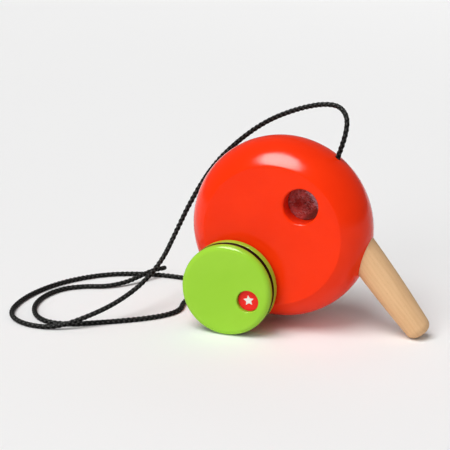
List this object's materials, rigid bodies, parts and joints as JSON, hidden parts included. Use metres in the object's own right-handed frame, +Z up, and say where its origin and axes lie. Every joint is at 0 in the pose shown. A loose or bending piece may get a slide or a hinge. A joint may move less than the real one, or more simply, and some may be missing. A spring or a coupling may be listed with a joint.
{
  "type": "pull-along toy with yo-yo wheels",
  "caption": "Turned wooden pull toy: a round body on a pair of grooved yo-yo shaped wheels and a round leg, with drilled eye sockets and a braided pull cord.",
  "frame": {"origin": "on the floor, under the middle of the toy's box without its cord", "axes": "+X towards the leg, along the toy's length; +Y along the axle, away from the front eye; +Z up"},
  "size_m": [0.228, 0.1139, 0.1227],
  "materials": {
    "red_lacquered_wood": "smooth glossy red lacquer over turned wood",
    "green_lacquered_wood": "smooth satin-gloss green lacquer over turned wood",
    "natural_beech": "clear matt oil on fine straight-grained beech",
    "black_rubber": "smooth black rubber",
    "steel_axle": "ground steel rod",
    "brass_bush": "turned brass tube",
    "nylon_washer": "natural nylon",
    "red_badge": "glossy red disc with a small plain white star",
    "cord_braid": "black polyester braid",
    "cord_melted_end": "melted polyester"
  },
  "bodies": {
    "toy": {"body": "red_lacquered_wood", "leg": "natural_beech", "axle_bush_front": "brass_bush", "axle_bush_rear": "brass_bush", "cord": "cord_braid", "cord_anchor": "cord_braid", "cord_tip": "cord_melted_end"},
    "wheelset": {"axle": "steel_axle", "washer_front": "nylon_washer", "washer_rear": "nylon_washer", "wheel_outer_half_front": "green_lacquered_wood", "wheel_outer_half_rear": "green_lacquered_wood", "wheel_inner_half_front": "green_lacquered_wood", "wheel_inner_half_rear": "green_lacquered_wood", "wheel_ring_front": "black_rubber", "wheel_ring_rear": "black_rubber", "badge_front": "red_badge", "badge_rear": "red_badge"}
  },
  "joints": [
    {"name": "wheelset_spin", "type": "hinge", "parent": "toy", "child": "wheelset", "pos_m": [-0.03665, 0, 0.025], "axis": [0, 1, 0], "continuous": true}
  ]
}
